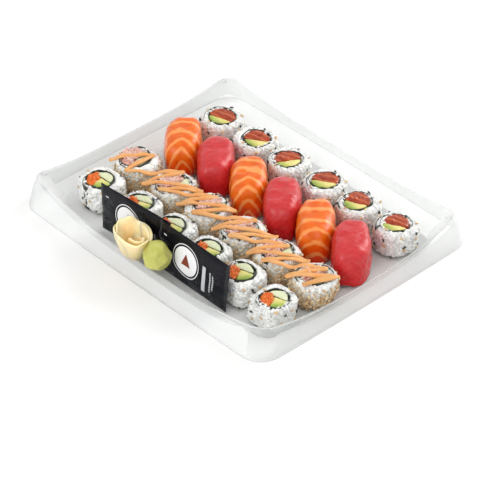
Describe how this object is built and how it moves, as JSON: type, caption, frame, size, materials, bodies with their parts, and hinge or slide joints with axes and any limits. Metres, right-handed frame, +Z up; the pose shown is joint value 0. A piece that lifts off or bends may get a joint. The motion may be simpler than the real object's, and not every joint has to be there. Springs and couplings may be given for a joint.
{
  "type": "takeaway sushi tray",
  "caption": "Clear thermoformed takeaway tray with rows of uramaki rolls, sauce-striped rolls and salmon and tuna nigiri, two soy sachets, pickled ginger and wasabi.",
  "frame": {"origin": "middle of the tray's footprint at the level it stands on", "axes": "+X along the tray's length, +Y across it from the garnish side to the back row, +Z up"},
  "size_m": [0.286, 0.235, 0.048],
  "materials": {
    "clear_plastic": "clear thermoformed plastic, glossy",
    "salmon_roll": "sticky rice with scattered sesame round a nori ring of salmon and avocado",
    "crab_roll": "sticky rice rolled in toasted crumbs, striped with spiced mayonnaise",
    "garden_roll": "sticky rice with black and tan sesame round carrot, cucumber and avocado",
    "salmon_fish": "moist raw salmon with pale fat lines",
    "tuna_fish": "moist raw tuna",
    "black_foil": "glossy black laminate film",
    "ginger_slices": "moist translucent pickled slices",
    "wasabi_paste": "dense smooth paste"
  },
  "bodies": {
    "root": {"tray": "clear_plastic", "roll_salmon_1": "salmon_roll", "roll_salmon_2": "salmon_roll", "roll_salmon_3": "salmon_roll", "roll_salmon_4": "salmon_roll", "roll_salmon_5": "salmon_roll", "roll_salmon_6": "salmon_roll", "roll_crab_1": "crab_roll", "roll_crab_2": "crab_roll", "roll_crab_3": "crab_roll", "roll_crab_4": "crab_roll", "roll_crab_5": "crab_roll", "roll_crab_6": "crab_roll", "roll_garden_1": "garden_roll", "roll_garden_2": "garden_roll", "roll_garden_3": "garden_roll", "roll_garden_4": "garden_roll", "roll_garden_5": "garden_roll", "roll_garden_6": "garden_roll", "nigiri_salmon_1": "salmon_fish", "nigiri_salmon_2": "salmon_fish", "nigiri_salmon_3": "salmon_fish", "nigiri_tuna_1": "tuna_fish", "nigiri_tuna_2": "tuna_fish", "nigiri_tuna_3": "tuna_fish", "soy_sachet_1": "black_foil", "soy_sachet_2": "black_foil", "pickled_ginger": "ginger_slices", "wasabi": "wasabi_paste"}
  },
  "joints": []
}
